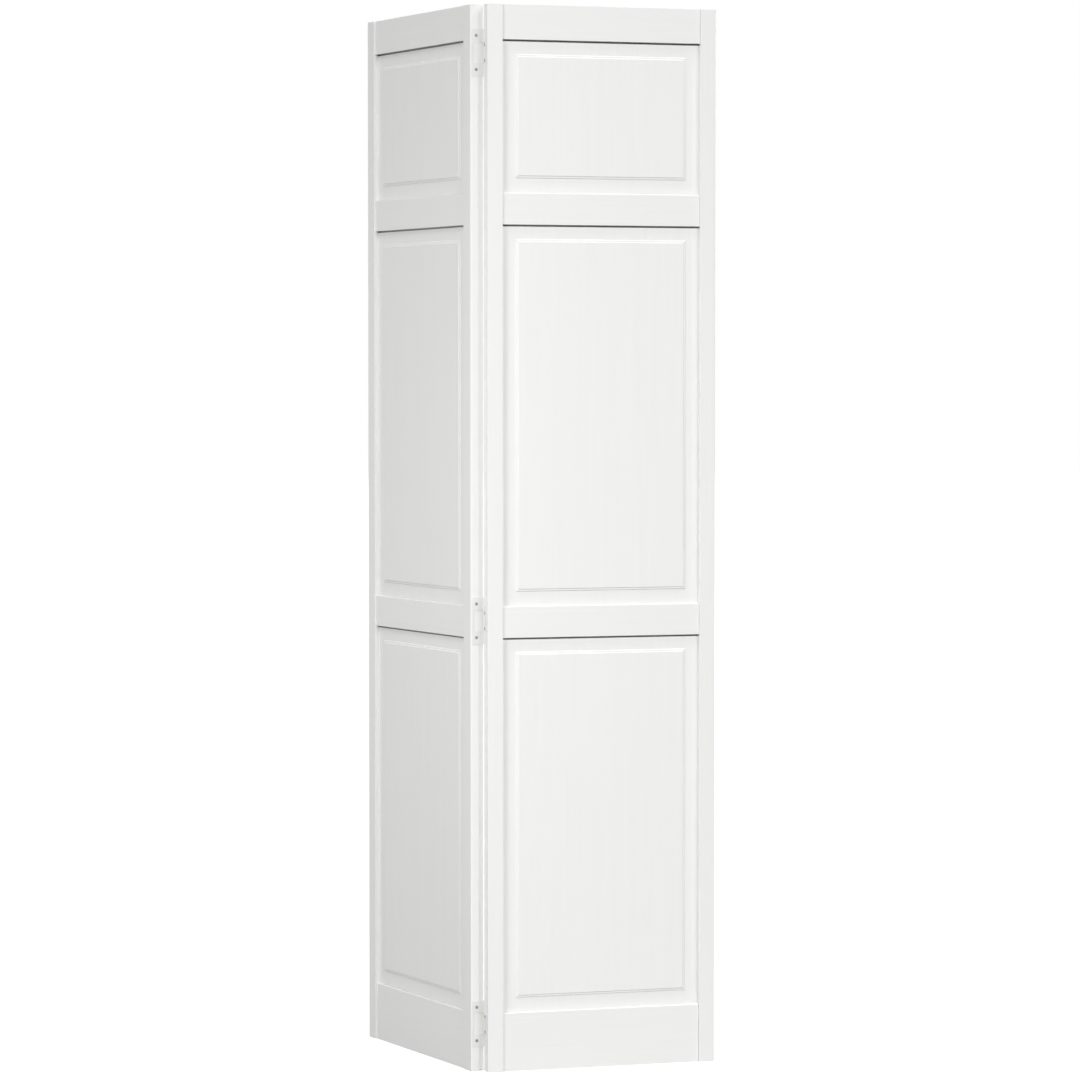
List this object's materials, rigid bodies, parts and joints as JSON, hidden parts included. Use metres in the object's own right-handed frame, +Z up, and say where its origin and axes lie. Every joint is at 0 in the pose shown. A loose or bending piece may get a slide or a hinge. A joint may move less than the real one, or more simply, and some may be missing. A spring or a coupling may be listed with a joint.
{
  "type": "bifold door",
  "caption": "White folding closet door of a pair of hinged leaves, each a narrow frame with raised panels, which folds flat against itself to open a cupboard.",
  "frame": {"origin": "on the floor, at the middle of the box around the half-folded door", "axes": "+Z up; +X along the right leaf, from the hinge pins to its outer edge; -Y is the right leaf's front"},
  "size_m": [0.5632, 0.4692, 2.0066],
  "materials": {
    "stile_paint": "satin white paint on wood",
    "rail_paint": "satin white paint on wood",
    "panel_paint": "satin white paint on wood",
    "dowel_beech": "bare beech",
    "hinge_enamel": "white enamel on steel",
    "pin_steel": "bright steel",
    "screw_zinc": "zinc plated"
  },
  "bodies": {
    "right_leaf": {"bottom_hinge_inner_leaf": "hinge_enamel", "bottom_hinge_inner_screw_lower": "screw_zinc", "bottom_hinge_inner_screw_upper": "screw_zinc", "middle_hinge_inner_leaf": "hinge_enamel", "middle_hinge_inner_screw_lower": "screw_zinc", "middle_hinge_inner_screw_upper": "screw_zinc", "right_bottom_panel": "panel_paint", "right_bottom_rail": "rail_paint", "right_bottom_rail_far_dowel_1": "dowel_beech", "right_bottom_rail_far_dowel_2": "dowel_beech", "right_bottom_rail_near_dowel_1": "dowel_beech", "right_bottom_rail_near_dowel_2": "dowel_beech", "right_frieze_rail": "rail_paint", "right_frieze_rail_far_dowel_1": "dowel_beech", "right_frieze_rail_near_dowel_1": "dowel_beech", "right_hinge_stile": "stile_paint", "right_lock_rail": "rail_paint", "right_lock_rail_far_dowel_1": "dowel_beech", "right_lock_rail_near_dowel_1": "dowel_beech", "right_middle_panel": "panel_paint", "right_outer_stile": "stile_paint", "right_top_panel": "panel_paint", "right_top_rail": "rail_paint", "right_top_rail_far_dowel_1": "dowel_beech", "right_top_rail_near_dowel_1": "dowel_beech", "top_hinge_inner_leaf": "hinge_enamel", "top_hinge_inner_screw_lower": "screw_zinc", "top_hinge_inner_screw_upper": "screw_zinc"},
    "left_leaf": {"bottom_hinge_outer_leaf": "hinge_enamel", "bottom_hinge_outer_screw_lower": "screw_zinc", "bottom_hinge_outer_screw_upper": "screw_zinc", "bottom_hinge_pin": "pin_steel", "left_bottom_panel": "panel_paint", "left_bottom_rail": "rail_paint", "left_bottom_rail_far_dowel_1": "dowel_beech", "left_bottom_rail_far_dowel_2": "dowel_beech", "left_bottom_rail_near_dowel_1": "dowel_beech", "left_bottom_rail_near_dowel_2": "dowel_beech", "left_frieze_rail": "rail_paint", "left_frieze_rail_far_dowel_1": "dowel_beech", "left_frieze_rail_near_dowel_1": "dowel_beech", "left_hinge_stile": "stile_paint", "left_lock_rail": "rail_paint", "left_lock_rail_far_dowel_1": "dowel_beech", "left_lock_rail_near_dowel_1": "dowel_beech", "left_middle_panel": "panel_paint", "left_outer_stile": "stile_paint", "left_top_panel": "panel_paint", "left_top_rail": "rail_paint", "left_top_rail_far_dowel_1": "dowel_beech", "left_top_rail_near_dowel_1": "dowel_beech", "middle_hinge_outer_leaf": "hinge_enamel", "middle_hinge_outer_screw_lower": "screw_zinc", "middle_hinge_outer_screw_upper": "screw_zinc", "middle_hinge_pin": "pin_steel", "top_hinge_outer_leaf": "hinge_enamel", "top_hinge_outer_screw_lower": "screw_zinc", "top_hinge_outer_screw_upper": "screw_zinc", "top_hinge_pin": "pin_steel"}
  },
  "joints": [
    {"name": "fold", "type": "hinge", "parent": "right_leaf", "child": "left_leaf", "pos_m": [-0.16981, -0.20816, 0], "axis": [0, 0, 1], "range_deg": [-101, 79]}
  ]
}
